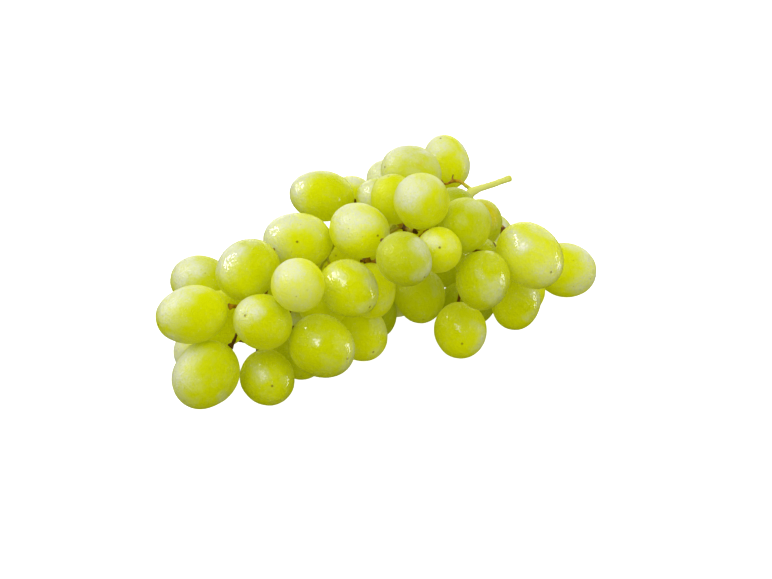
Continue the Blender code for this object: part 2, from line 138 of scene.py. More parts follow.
cameraData = bpy.data.cameras.new("photoCamera")
camera = bpy.data.objects.new("photoCamera", cameraData)
bpy.context.scene.collection.objects.link(camera)
turn = math.radians(cameraLook["turn"])
rise = math.radians(cameraLook["rise"])
camera.rotation_euler = (math.pi / 2 - rise, 0.0, turn)
viewTurn = camera.rotation_euler.to_matrix()
viewTarget = Vector(cameraLook["lookAt"])
camera.location = viewTarget + viewTurn @ Vector((0.0, 0.0, cameraLook["away"]))
pictureWidth = cameraLook["pixelWidth"] * cameraLook["pixelsAcross"]
cameraData.sensor_width = cameraLook["sensor"]
cameraData.lens = cameraLook["sensor"] * cameraLook["away"] / pictureWidth
cameraData.clip_start, cameraData.clip_end = cameraLook["clip"]
bpy.context.scene.camera = camera


def pictureWay(right, up, near):
    # a way given as the camera sees it, turned into the scene's axes
    return (viewTurn @ Vector((right, up, near))).normalized()


def seenPlace(across, up, height):
    # the place at that height on the line of sight through (across, up), all in millimetres
    aim = viewTarget + viewTurn @ Vector((across, up, 0.0)) * millimetre
    ray = camera.location - aim
    return aim + ray * ((height * millimetre - aim.z) / ray.z)


print("camera set")


# shader writing

class Wire:
    def __init__(self, tree, end):
        self.tree = tree
        self.end = end

    def maths(self, operation, *others, clamp=False):
        node = self.tree.nodes.new("ShaderNodeMath")
        node.operation = operation
        node.use_clamp = clamp
        for slot, value in enumerate((self, *others)):
            join(self.tree, node.inputs[slot], value)
        return Wire(self.tree, node.outputs[0])

    def __add__(self, other):
        return self.maths("ADD", other)

    def __radd__(self, other):
        return self.maths("ADD", other)

    def __sub__(self, other):
        return self.maths("SUBTRACT", other)

    def __rsub__(self, other):
        return self.maths("MULTIPLY", -1.0).maths("ADD", other)

    def __mul__(self, other):
        return self.maths("MULTIPLY", other)

    def __rmul__(self, other):
        return self.maths("MULTIPLY", other)

    def between(self, low, high):
        # 0 at low and 1 at high, held there beyond them
        return self.maths("SUBTRACT", low).maths("DIVIDE", high - low, clamp=True)


def join(tree, socket, value):
    if isinstance(value, Wire):
        tree.links.new(value.end, socket)
    elif isinstance(value, (tuple, list)) and len(value) == 3 and socket.type == "RGBA":
        socket.default_value = (*value, 1.0)
    else:
        socket.default_value = value


class Finish:
    def __init__(self, name, tree=None):
        if tree is None:
            self.material = bpy.data.materials.new(name)
            self.material.use_nodes = True
            tree = self.material.node_tree
            tree.nodes.clear()
        self.tree = tree

    def node(self, kind, settings, sockets, out=0):
        made = self.tree.nodes.new(kind)
        for name, value in settings.items():
            if name == "stops":
                for stop in list(made.color_ramp.elements)[2:]:
                    made.color_ramp.elements.remove(stop)
                for count, (place, colour) in enumerate(value):
                    ramp = made.color_ramp.elements
                    stop = ramp[count] if count < 2 else ramp.new(place)
                    stop.position = place
                    stop.color = (*colour, 1.0)
            else:
                setattr(made, name, value)
        for name, value in sockets.items():
            join(self.tree, made.inputs[name], value)
        return Wire(self.tree, made.outputs[out]) if made.outputs else made

    def places(self):
        return self.node("ShaderNodeTexCoord", {}, {}, "Object")

    def own(self, name, out="Fac"):
        return self.node("ShaderNodeAttribute", {"attribute_name": name}, {}, out)

    def noise(self, places, scale, detail=2.0, roughness=0.5):
        return self.node(
            "ShaderNodeTexNoise", {},
            {"Vector": places, "Scale": scale, "Detail": detail, "Roughness": roughness},
        )

    def mix(self, share, first, second):
        return self.node(
            "ShaderNodeMix", {"data_type": "RGBA"}, {0: share, 6: first, 7: second}, 2
        )

    def dots(self, places, scale):
        # the distance to the nearest of many scattered points
        return self.node(
            "ShaderNodeTexVoronoi", {"feature": "F1"}, {"Vector": places, "Scale": scale},
            "Distance",
        )

    def distance(self, first, second):
        return self.node(
            "ShaderNodeVectorMath", {"operation": "DISTANCE"}, {0: first, 1: second}, "Value"
        )

    def facing(self, way):
        # in a world: how nearly the gaze goes the given way
        gaze = self.node("ShaderNodeTexCoord", {}, {}, "Generated")
        return self.node(
            "ShaderNodeVectorMath", {"operation": "DOT_PRODUCT"}, {0: gaze, 1: way}, "Value"
        )

    def shader(self, sockets):
        skin = self.node("ShaderNodeBsdfPrincipled", {}, sockets)
        self.node("ShaderNodeOutputMaterial", {}, {"Surface": skin})
        return self.material


# the grapes' skin

grapeSkinLook = {
    "deep": (0.305, 0.352, 0.0),      # flesh where the skin is thick and green, dark enough to also paint the shade on grapes deep in the bunch
    "ripe": (0.63, 0.665, 0.0),       # the yellower flesh
    "bloomAndSheen": (0.68, 0.70, 0.61),      # pale wax on the skin, and painted sheen where soft highlights fall
    "glintsAndPores": (0.84, 0.85, 0.72),     # painted glints, and the pale pores
    "softSpot": (0.50, 0.42, 0.0),    # a bruised, yellowed place
    "freckle": (0.22, 0.14, 0.01),
    "scar": (0.11, 0.05, 0.008),
    "subsurface": 0.85,
    "depth": 0.0110,                  # how far light wanders in the flesh, in metres
    "glow": 0.25,                     # painted glow: the flesh's colour given off as light, standing in for daylight come through it
    "glowUnderWax": 0.65,             # the share of it that thick wax holds back
    # how fine the patterns are: larger is finer
    "broadScale": 48.0,
    "rareScale": 90.0,
    "cloudScale": 190.0,
    "freckleScale": 260.0,
    "poreScale": 720.0,
    "glintBreakupScale": 1050.0,
    "grainScale": 1100.0,
    # how wax thins out at its edges and close up
    "waxClouds": 1.5,
    "waxStreaks": 1.3,
    "waxDust": 1.6,
    "waxRange": (0.05, 0.90),
    "waxCover": 0.85,
    "glintCover": 0.9,
    "poreCover": 0.20,
    "freckleCover": 0.5,
    "scarCover": 0.9,
    "scarEdge": (0.00035, 0.00065),   # metres from the scar's middle
    "smoothness": (0.33, 0.12),       # roughness of bare skin, and what wax adds
    "bumpDepth": 0.00080,
    "sheen": 0.05,
    "polish": 0.09,                   # roughness of the wet-looking coat
}


def makeGrapeSkin(look):
    made = Finish("waxyGrapeSkin")
    places = made.places()
    fromScar = made.distance(places, made.own("scarPlace", "Vector"))
    broad = made.noise(places, look["broadScale"], 1.0)
    cloud = made.noise(places, look["cloudScale"], 5.0, 0.62)
    grain = made.noise(places, look["grainScale"], 2.0, 0.6)
    streaks = made.noise(made.own("streakPlace", "Vector"), 1.0, 4.0, 0.62)
    # ripeness from green to yellow, with each grape's painted shade or light
    ripenessAndShade = (broad * 0.4 + made.own("toneAndShade") * 0.8 - 0.1).between(0.0, 1.0)
    flesh = made.mix(ripenessAndShade, look["deep"], look["ripe"])
    yellowed = made.mix(made.own("softSpot") * 0.8, flesh, look["softSpot"])
    # wax lies in patches that fade out in streaks, and is dusty close up; on the near side the
    # patches also carry painted sheen where the lamps' soft highlights fall
    rough = (cloud - 0.5) * look["waxClouds"] + (streaks - 0.5) * look["waxStreaks"]
    ragged = (made.own("wax") * (1.1 + rough * 1.1) + rough * 0.13).between(*look["waxRange"])
    dust = 0.84 + (grain - 0.5) * look["waxDust"]
    bloomAndSheen = (ragged * dust).between(0.0, 1.0)
    waxAndSheenColour = made.mix(bloomAndSheen * look["waxCover"], yellowed, look["bloomAndSheen"])
    # here and there painted glints: broken highlights painted into the colour
    glintBreakup = made.noise(places, look["glintBreakupScale"], 3.0, 0.7)
    paintedGlints = ((glintBreakup - 0.5) * 3.6 + made.own("paintedGlint") * 1.5 - 1.0).between(0.0, 0.7)
    pale = 1.0 - made.dots(places, look["poreScale"]).between(0.12, 0.24)
    pores = pale * cloud.between(0.50, 0.60) * look["poreCover"]
    coloured = made.mix(paintedGlints * look["glintCover"] + pores, waxAndSheenColour, look["glintsAndPores"])
    # brown freckles, where the rare patches are
    rare = made.noise(places, look["rareScale"], 1.0)
    brown = 1.0 - made.dots(places, look["freckleScale"]).between(0.05, 0.10)
    freckles = brown * rare.between(0.52, 0.60)
    freckled = made.mix(freckles * look["freckleCover"], coloured, look["freckle"])
    scar = (1.0 - fromScar.between(*look["scarEdge"])) * made.own("scar")
    finished = made.mix(scar * look["scarCover"], freckled, look["scar"])
    # painted glow: the flesh colour given off as light, held back under thick wax
    paintedGlowColour = made.mix(bloomAndSheen * look["glowUnderWax"], flesh, (0.0, 0.0, 0.0))
    bareRoughness, waxRoughness = look["smoothness"]
    bump = made.node(
        "ShaderNodeBump", {},
        {"Strength": 0.8, "Distance": look["bumpDepth"], "Height": grain + cloud * 0.6},
    )
    return made.shader({
        "Base Color": finished,
        "Roughness": bareRoughness + ragged * waxRoughness,
        "Normal": bump,
        "IOR": 1.45,
        "Specular IOR Level": 0.30,
        "Specular Tint": (1.0, 1.0, 0.25, 1.0),
        "Sheen Weight": look["sheen"],
        "Sheen Tint": (1.0, 1.0, 0.4, 1.0),
        "Sheen Roughness": 0.28,
        "Coat Weight": grain.between(0.48, 0.56) * made.own("gloss"),
        "Coat Roughness": look["polish"],
        "Subsurface Weight": look["subsurface"],
        "Subsurface Radius": (1.0, 0.95, 0.20),
        "Subsurface Scale": look["depth"],
        "Emission Color": paintedGlowColour,
        "Emission Strength": look["glow"],
    })


grapeSkin = makeGrapeSkin(grapeSkinLook)
print("grape skin made")


# the grape that all others are copied from: stem end up, one unit in radius

grapeShape = {
    "segments": 32,
    "rings": 20,
    "shoulder": 0.045,            # how much fuller the stem end is
    "endCap": 0.985,              # height of the faces that make up each end
    "collar": (0.035, 0.012),     # stem end: inset and rise
    "seat": (0.030, -0.030),
    "dimple": (0.060, -0.008),    # far end: inset and sink
    "scarPit": (0.045, -0.006),
    "scarPoint": 0.022,           # how far the scar's point stands out of it
    "streaks": (6.0, 6.0, 1.8),   # streaks of wax run from end to end
    "lumps": 0.00055,
    "lumpSize": 0.011,
    "tableGap": 0.0002,           # metres over which skin on the table flattens
    "bend": (0.55, -0.90),        # heights between which the skin slides with the scar
}


def shoulderAt(height):
    return 1.0 + grapeShape["shoulder"] * height * (1.0 - height * height)


def makeMasterGrape(shape):
    bpy.ops.mesh.primitive_uv_sphere_add(
        segments=shape["segments"], ring_count=shape["rings"], radius=1.0, location=(0, 0, 0)
    )
    grape = bpy.context.object
    grape.name = "masterGrape"
    inEditMode(grape)
    for ring in range(1, shape["rings"]):
        height = math.cos(math.pi * ring / shape["rings"])
        pickVertices(grape, lambda place: abs(place.z - height) < 0.004)
        wide = shoulderAt(height)
        bpy.ops.transform.resize(value=(wide, wide, 1.0))
    # the stem end: a low collar round a shallow seat
    pickFaces(grape, lambda place: place.z > shape["endCap"])
    for part in ("collar", "seat"):
        bpy.ops.mesh.inset(thickness=shape[part][0], depth=shape[part][1])
    # the far end: a shallow dimple with the scar's small point in it
    pickFaces(grape, lambda place: place.z < -shape["endCap"])
    for part in ("dimple", "scarPit"):
        bpy.ops.mesh.inset(thickness=shape[part][0], depth=shape[part][1])
    pickVertices(grape, lambda place: place.z < -0.9 and place.xy.length < 0.005)
    bpy.ops.transform.translate(value=(0.0, 0.0, -shape["scarPoint"]))
    backToObjectMode()
    rounded = grape.modifiers.new("rounded", "SUBSURF")
    rounded.levels = 1
    rounded.render_levels = 1
    applyModifier(grape, rounded)
    bpy.ops.object.shade_smooth()
    return grape


# the solids: rings from end to end, with many sides around and with fewer
solidShape = {
    "manySides": 14,
    "manyRings": 8,
    "fewRings": 7,
    "aboveTable": 0.0001,         # corners lower than this belong to a flat spot
    "wideEnough": 0.8,            # the girth is read within this share of the half length
}


def mergedCopy(mesh):
    # loose triangles joined where their corners meet
    merged = bmesh.new()
    merged.from_mesh(mesh)
    bmesh.ops.remove_doubles(merged, verts=merged.verts, dist=0.00001)
    return merged


def stemTree():
    # for finding how near the stem is
    points = placesOf(nodes["stem"].data)
    tree = KDTree(len(points))
    for count, point in enumerate(points):
        tree.insert(point, count)
    tree.balance()
    return tree


def readGrape(name, tree):
    # an end is the corner with most faces, and the higher end gives axis, length and centre;
    # on a few low grapes a corner beside the flat spot has more, and is taken instead
    solid = mergedCopy(nodes[name].data)
    clear = [corner for corner in solid.verts if corner.co.z > solidShape["aboveTable"]]
    most = max(len(corner.link_faces) for corner in clear)
    ends = [corner for corner in clear if len(corner.link_faces) == most]
    end = max(ends, key=lambda corner: corner.co.z)
    around = [edge.other_vert(end).co for edge in end.link_edges]
    many = most == solidShape["manySides"]
    rings = solidShape["manyRings"] if many else solidShape["fewRings"]
    middle = sum(around, Vector()) / len(around)
    axis = (end.co - middle).normalized()
    halfLength = (end.co - middle).length / (1.0 - math.cos(math.pi / rings))
    centre = end.co - axis * halfLength
    ways = [axis, -axis]
    nearness = [tree.find(centre + way * halfLength)[2] for way in ways]
    toStem = ways[nearness.index(min(nearness))]
    places = np.array([corner.co[:] for corner in clear])
    solid.free()
    offsets = places - np.array(centre)
    along = offsets @ np.array(toStem)
    across = np.linalg.norm(offsets - np.outer(along, np.array(toStem)), axis=1)
    share = np.clip(along / halfLength, -0.98, 0.98)
    plain = across / (np.sqrt(1.0 - share ** 2) * shoulderAt(share))
    halfGirth = float(np.median(plain[np.abs(share) < solidShape["wideEnough"]]))
    return centre, toStem, halfGirth, halfLength


def restOnTable(places):
    # soft skin flattens where the bunch rests, a hair above the table
    height = places[:, 2]
    places[:, 2] = 0.5 * (height + np.sqrt(height ** 2 + grapeShape["tableGap"] ** 2))
    return places


def insideBox(places, box):
    low, high = np.array(box[0]), np.array(box[1])
    inwards = np.maximum(low - places.min(0), 0.0) - np.maximum(places.max(0) - high, 0.0)
    return places + inwards


# Marks read from the photo. Right and up are measured from a grape's middle as it looks
# from the camera, in half girths.
# where the scar shows, and how dark it is
scarMarks = {
    "01": (-0.62, -0.78, 0.5), "02": (0.24, -0.25, 1.0), "03": (-0.56, 0.25, 0.8),
    "04": (-1.12, -0.34, 0.9), "05": (-1.12, 0.10, 0.2), "06": (-0.30, -1.00, 0.2),
    "07": (0.07, -0.98, 0.4), "10": (0.83, -0.38, 1.0), "12": (0.75, -0.65, 1.0),
    "13": (0.48, -0.67, 1.0), "16": (0.02, -0.06, 1.0), "17": (0.66, -0.20, 1.0),
    "18": (-1.24, 0.16, 0.9), "23": (-1.00, 0.15, 0.9), "24": (-0.26, 1.00, 0.9),
    "25": (0.10, -1.00, 0.2), "27": (0.47, -0.92, 0.8), "30": (0.02, 0.09, 1.0),
    "31": (0.76, -0.68, 1.0), "33": (0.61, -0.53, 0.8), "37": (0.03, -0.47, 0.9),
    "38": (0.15, -1.00, 0.3),
}
# patches of wax and of painted sheen where soft highlights fall: right, up, reach and strength
waxAndSheenMarks = {
    "01": ((-0.80, 0.15, 0.80, 0.80), (-0.60, -0.60, 0.45, 0.35), (0.65, -0.70, 0.30, 0.35)),
    "02": ((-0.30, 0.30, 0.40, 0.38), (0.50, -0.10, 0.30, 0.12), (0.55, -0.80, 0.25, 0.22)),
    "03": ((-0.50, 0.50, 0.55, 0.75), (0.20, 0.70, 0.35, 0.15), (-0.75, -0.10, 0.45, 0.25),
           (0.50, 0.05, 0.25, 0.12)),
    "04": ((-0.70, 0.45, 0.80, 0.80), (-0.05, 0.90, 0.50, 0.50), (-0.65, -0.75, 0.50, 0.40)),
    "05": ((-0.60, 0.50, 0.90, 0.95),),
    "06": ((-0.70, 0.40, 0.70, 0.95), (-0.05, 0.95, 0.45, 0.35)),
    "07": ((-0.40, 0.65, 0.80, 0.95), (0.00, -0.10, 1.30, 0.32)),
    "09": ((-0.90, 0.00, 0.90, 1.10),),
    "10": ((0.90, -0.15, 0.60, 0.32), (-0.35, 0.35, 0.30, 0.28), (0.20, -0.40, 0.45, 0.12)),
    "12": ((-0.35, 0.60, 0.35, 0.55), (0.30, 0.85, 0.50, 0.28), (0.95, 0.05, 0.50, 0.55),
           (0.70, -0.40, 0.40, 0.25)),
    "13": ((0.85, 0.20, 0.50, 0.35), (0.65, -0.65, 0.35, 0.22)),
    "14": ((0.70, -0.30, 0.45, 0.20), (-0.10, -0.85, 0.30, 0.12)),
    "16": ((-0.60, 0.70, 0.90, 1.10), (-0.70, -0.05, 0.65, 0.65), (0.60, 0.50, 0.50, 0.35)),
    "17": ((-0.35, 0.60, 0.90, 0.95), (0.45, 0.90, 0.55, 0.75), (0.85, -0.10, 0.50, 0.30)),
    "18": ((-0.80, 0.50, 0.75, 0.85), (-0.10, 0.95, 0.50, 0.50), (-0.85, -0.30, 0.50, 0.32),
           (0.00, -0.95, 0.30, 0.18)),
    "19": ((0.00, 0.90, 0.60, 0.75),),
    "20": ((-0.60, 0.35, 0.65, 0.90),),
    "21": ((-0.20, 0.95, 0.45, 0.40), (0.45, 0.60, 0.35, 0.40), (-0.80, 0.35, 0.35, 0.20)),
    "22": ((-0.75, 0.55, 1.20, 1.15),),
    "23": ((-0.50, 0.75, 0.85, 0.90), (0.30, 0.90, 0.50, 0.65), (-0.70, 0.10, 0.65, 0.50),
           (0.10, -0.25, 0.50, 0.35), (0.90, 0.20, 0.50, 0.35)),
    "24": ((-0.60, 0.65, 0.85, 0.85), (0.75, 0.75, 0.50, 0.95), (0.90, -0.05, 0.60, 0.60)),
    "25": ((-0.55, 0.40, 0.75, 0.90), (0.20, 0.75, 0.60, 0.40), (0.55, -0.05, 0.35, 0.18)),
    "26": ((0.60, 0.80, 0.30, 0.12),),
    "27": ((0.20, 0.75, 0.50, 0.38), (0.90, 0.30, 0.35, 0.28), (-0.10, 0.30, 0.30, 0.18)),
    "28": ((0.50, 0.90, 0.30, 0.30),),
    "30": ((-0.30, 0.55, 0.50, 0.60), (0.45, 0.10, 0.45, 0.28), (0.20, -0.45, 0.25, 0.18)),
    "31": ((0.72, 0.40, 0.50, 0.60), (0.78, -0.30, 0.48, 0.50), (-0.10, 0.95, 0.25, 0.20)),
    "32": ((0.50, 0.05, 0.35, 0.18), (0.20, -0.95, 0.25, 0.12)),
    "33": ((-0.45, 0.50, 0.45, 0.75), (0.30, 0.85, 0.45, 0.40), (0.60, -0.30, 0.65, 0.38),
           (0.00, 0.00, 1.30, 0.15)),
    "34": ((0.85, 0.50, 0.75, 0.70), (0.75, -0.30, 0.75, 0.50), (0.10, 0.90, 0.50, 0.50)),
    "36": ((0.40, 0.40, 0.80, 0.90),),
    "35": ((0.75, 0.10, 0.50, 0.38), (0.65, -0.60, 0.40, 0.28), (-0.60, 0.30, 0.25, 0.12)),
    "37": ((0.75, -0.10, 0.50, 0.50), (0.70, -0.60, 0.35, 0.35), (0.05, 0.30, 0.25, 0.12)),
    "38": ((0.50, -0.25, 0.60, 0.42), (-0.10, 0.20, 0.30, 0.25), (0.50, -0.80, 0.35, 0.25)),
}
# painted glints, broken highlights in the colour: right, up, reach and strength
paintedGlintMarks = {
    "01": ((-0.15, 0.50, 0.30, 0.45),),
    "02": ((-0.25, 0.28, 0.28, 0.85), (0.62, 0.02, 0.12, 1.00)),
    "03": ((0.52, 0.05, 0.13, 0.80), (-0.20, 0.42, 0.16, 0.50)),
    "06": ((-0.42, 0.32, 0.14, 0.95),),
    "07": ((-0.25, 0.55, 0.22, 0.55), (0.30, 0.10, 0.30, 0.45)),
    "10": ((-0.32, 0.30, 0.24, 1.00), (-0.10, 0.05, 0.15, 0.60)),
    "12": ((-0.35, 0.38, 0.22, 0.95), (-0.12, -0.05, 0.20, 0.75)),
    "16": ((-0.62, 0.45, 0.24, 0.60), (0.78, 0.12, 0.14, 0.90)),
    "17": ((-0.35, 0.70, 0.30, 0.55),),
    "18": ((0.62, -0.12, 0.12, 1.00), (-0.48, 0.42, 0.12, 0.80)),
    "20": ((-0.30, 0.10, 0.35, 0.90),),
    "23": ((-0.80, 0.28, 0.22, 0.65),),
    "25": ((0.52, -0.38, 0.18, 0.80), (-0.50, 0.35, 0.30, 0.50)),
    "27": ((0.50, 0.05, 0.14, 0.60),),
    "30": ((-0.30, 0.45, 0.25, 0.50), (0.65, -0.15, 0.18, 0.60)),
    "33": ((-0.48, 0.42, 0.30, 1.00), (0.72, -0.15, 0.22, 0.95)),
    "35": ((0.50, 0.25, 0.26, 0.85),),
    "37": ((-0.25, 0.20, 0.28, 0.75),),
    "38": ((-0.28, 0.48, 0.16, 0.95), (0.12, 0.10, 0.26, 0.60)),
}
softSpots = {"23": (0.27, 0.12, 0.16), "28": (0.50, 0.30, 0.60)}
glossyGrapes = ("02", "06", "10", "12", "16", "18", "20", "33", "35", "38")
# how ripe each grape's flesh is, from green to yellow; some are set darker as painted shade
# deep in the bunch, and some lighter as painted light on grapes that lie in shade
tonesAndShadeOfGrapes = {
    "01": 0.55, "02": 0.50, "03": 0.60, "04": 0.65, "05": 0.60, "06": 0.55, "07": 0.90,
    "08": 1.00, "09": 0.90, "10": 0.45, "11": 0.30, "12": 0.55, "13": 0.75, "14": 0.80,
    "15": -0.10, "16": 0.85, "17": 0.85, "18": 0.65, "19": 0.80, "20": 0.70, "21": 0.65,
    "22": 0.75, "23": 0.55, "24": 0.75, "25": 0.65, "26": -0.05, "27": 0.35, "28": 0.30,
    "29": 0.25, "30": 0.75, "31": 0.20, "32": 0.30, "33": 0.85, "34": 0.85, "35": 0.60,
    "36": 0.90, "37": 0.70, "38": 0.35, "39": 0.10, "40": -0.10, "41": 1.00, "42": 0.60,
}
waxLook = {
    "bare": 0.05,                 # wax away from all patches
    "fullTo": 0.25,               # a patch is full to this share of its reach
    "goneBy": 1.35,
    "waver": 0.16,
    "chancePatches": 3,
    "chanceReach": (0.5, 0.95),
    "chanceStrength": (0.5, 0.9),
    "lastSeen": 43,               # grapes past this number have no marks
    "glossyCoat": 0.8,
    "plainCoat": 0.15,
    "plainScar": 0.6,             # how dark a scar is where none is marked
    "plainTone": (0.3, 0.8),
    "firstSeed": 900,
}
viewAxes = np.array([viewTurn.col[0][:], viewTurn.col[1][:], viewTurn.col[2][:]])
farEnd = (0.0, 0.0, -1.0)         # of the unit grape


def eased(share):
    # from 0 to 1, slow at both ends
    share = np.clip(share, 0.0, 1.0)
    return share * share * (3.0 - 2.0 * share)


def markWay(right, up):
    # the way from a grape's middle to a mark on its near side, in picture axes
    near = math.sqrt(max(0.0, 1.0 - right ** 2 - up ** 2))
    return np.array((right, up, near)) / math.sqrt(right ** 2 + up ** 2 + near ** 2)


def scarOnSphere(mark, turned, halfGirth, halfLength):
    # the unit sphere's point that becomes the scar, once the sphere is sized and turned
    aim = np.array(mark[:2]) * halfGirth
    toWorld = viewAxes.T
    shrink = np.diag((1.0 / halfGirth, 1.0 / halfGirth, 1.0 / halfLength)) @ np.array(turned).T
    # where the line of sight through the mark leaves the sphere on the near side
    start = shrink @ toWorld @ np.array((*aim, 0.0))
    step = shrink @ toWorld @ np.array((0.0, 0.0, 1.0))
    half = start @ step
    room = half ** 2 - (step @ step) * (start @ start - 1.0)
    reach = (-half + math.sqrt(max(0.0, room))) / (step @ step)
    point = start + step * reach
    return point / np.linalg.norm(point)


def bendTip(places, target):
    # slides the far end's skin over the sphere until its scar is at the target
    down = np.array(farEnd)
    axis = np.cross(down, target)
    if np.linalg.norm(axis) < 1e-6:
        return places
    axis = axis / np.linalg.norm(axis)
    top, foot = grapeShape["bend"]
    share = eased((top - places[:, 2]) / (top - foot))
    angle = (math.acos(np.clip(target @ down, -1.0, 1.0)) * share)[:, None]
    along = (places @ axis)[:, None] * axis
    side = np.cross(axis, places)
    return places * np.cos(angle) + side * np.sin(angle) + along * (1.0 - np.cos(angle))


def fadingPatch(ways, middle, size):
    # an uneven patch: its outline wavers with the way from the grape's middle
    waver = waxLook["waver"] * np.sin(ways[:, (1, 2, 0)] * 5.3 + middle * 7.0)
    away = np.linalg.norm(ways + waver - middle, axis=1) / size
    return eased((waxLook["goneBy"] - away) / (waxLook["goneBy"] - waxLook["fullTo"]))


def patchAmount(ways, mark):
    return fadingPatch(ways, markWay(mark[0], mark[1]), mark[2]) * mark[3]


def waxAndSheenAmount(places, centre, halfGirth, number, chance):
    ways = (places - np.array(centre)) @ viewAxes.T / halfGirth
    ways = ways / np.linalg.norm(ways, axis=1)[:, None]
    wax = np.full(len(places), waxLook["bare"])
    # the marked patches: wax, with painted sheen where soft highlights fall
    for mark in waxAndSheenMarks.get(number, ()):
        wax = np.maximum(wax, patchAmount(ways, mark))
    # the sides that the camera doesn't see carry patches by chance
    unseen = int(number) > waxLook["lastSeen"]
    for patch in range(waxLook["chancePatches"]):
        way = chance.normal(size=3)
        way[2] = way[2] if unseen else -abs(way[2]) - 0.4
        way = way / np.linalg.norm(way)
        amount = fadingPatch(ways, way, chance.uniform(*waxLook["chanceReach"]))
        if not unseen:
            # fades out before the near side, where the marks say what shows
            amount = amount * np.clip(0.5 - 1.5 * ways[:, 2], 0.0, 1.0)
        wax = np.maximum(wax, amount * chance.uniform(*waxLook["chanceStrength"]))
    paintedGlint = np.zeros(len(places))
    # painted glints where highlights were marked
    for mark in paintedGlintMarks.get(number, ()):
        paintedGlint = np.maximum(paintedGlint, patchAmount(ways, mark))
    spot = np.zeros(len(places))
    if number in softSpots:
        spot = patchAmount(ways, (*softSpots[number], 1.0))
    return wax, paintedGlint, spot


def placeGrape(master, name, tree):
    centre, toStem, halfGirth, halfLength = readGrape(name, tree)
    number = name[-2:]
    chance = np.random.default_rng(waxLook["firstSeed"] + int(number))
    mesh = master.data.copy()
    grape = bpy.data.objects.new("ripeGrape" + number, mesh)
    bpy.context.scene.collection.objects.link(grape)
    spin = Matrix.Rotation(chance.uniform(0.0, 2.0 * math.pi), 3, "Z")
    turned = toStem.to_track_quat("Z", "Y").to_matrix() @ spin
    sized = np.array(turned @ Matrix.Diagonal((halfGirth, halfGirth, halfLength)))
    sphere = placesOf(mesh)
    streakPlaces = sphere * grapeShape["streaks"] + chance.uniform(0.0, 90.0, 3)
    scarWay = np.array(farEnd)
    if number in scarMarks:
        scarWay = scarOnSphere(scarMarks[number], turned, halfGirth, halfLength)
        sphere = bendTip(sphere, scarWay)
    putPlaces(mesh, sphere @ sized.T + np.array(centre))
    lumps = grape.modifiers.new("lumps", "DISPLACE")
    lumps.texture = lumpTexture
    lumps.texture_coords = "LOCAL"
    lumps.mid_level = 0.5
    lumps.strength = grapeShape["lumps"]
    applyModifier(grape, lumps)
    places = insideBox(restOnTable(placesOf(mesh)), cadBox)
    putPlaces(mesh, places)
    count = len(mesh.vertices)
    wax, paintedGlint, spot = waxAndSheenAmount(places, centre, halfGirth, number, chance)
    # pale wax with painted sheen in it
    setNumbers(mesh, "wax", wax)
    # painted glints
    setNumbers(mesh, "paintedGlint", paintedGlint)
    setNumbers(mesh, "softSpot", spot)
    toneAndShade = tonesAndShadeOfGrapes.get(number, chance.uniform(*waxLook["plainTone"]))
    setNumbers(mesh, "toneAndShade", np.full(count, toneAndShade))
    gloss = waxLook["glossyCoat"] if number in glossyGrapes else waxLook["plainCoat"]
    setNumbers(mesh, "gloss", np.full(count, gloss))
    scar = scarMarks[number][2] if number in scarMarks else waxLook["plainScar"]
    setNumbers(mesh, "scar", np.full(count, scar))
    scarPlace = sized @ scarWay + np.array(centre)
    setVectors(mesh, "scarPlace", np.tile(scarPlace, (count, 1)))
    setVectors(mesh, "streakPlace", streakPlaces)
    mesh.materials.clear()
    mesh.materials.append(grapeSkin)
    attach(grape, "root")
    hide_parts(name)
    return grape


lumpTexture = bpy.data.textures.new("lumpTexture", "CLOUDS")
lumpTexture.noise_scale = grapeShape["lumpSize"]
masterGrape = makeMasterGrape(grapeShape)
stemPoints = stemTree()
grapes = [placeGrape(masterGrape, name, stemPoints) for name in grapeNames]
bpy.data.objects.remove(masterGrape)
print(len(grapes), "grapes placed")


# the stem

stemLook = {
    # from the darkest dried wood to fresh pale green
    "stops": (
        (0.00, (0.035, 0.017, 0.002)),
        (0.20, (0.15, 0.068, 0.004)),
        (0.38, (0.52, 0.28, 0.004)),
        (0.55, (0.46, 0.39, 0.01)),
        (0.75, (0.60, 0.61, 0.04)),
        (1.00, (0.70, 0.72, 0.18)),
    ),
    "usual": 0.22,            # freshness away from all the marks
    "voxel": 0.00030,
    "smoothing": 0.5,
    "smoothingTurns": 2,
    "bark": 0.00030,
    "barkSize": 0.0016,
    "patchScale": 420.0,
    "fineScale": 1800.0,
    "bumpDepth": 0.0003,
}
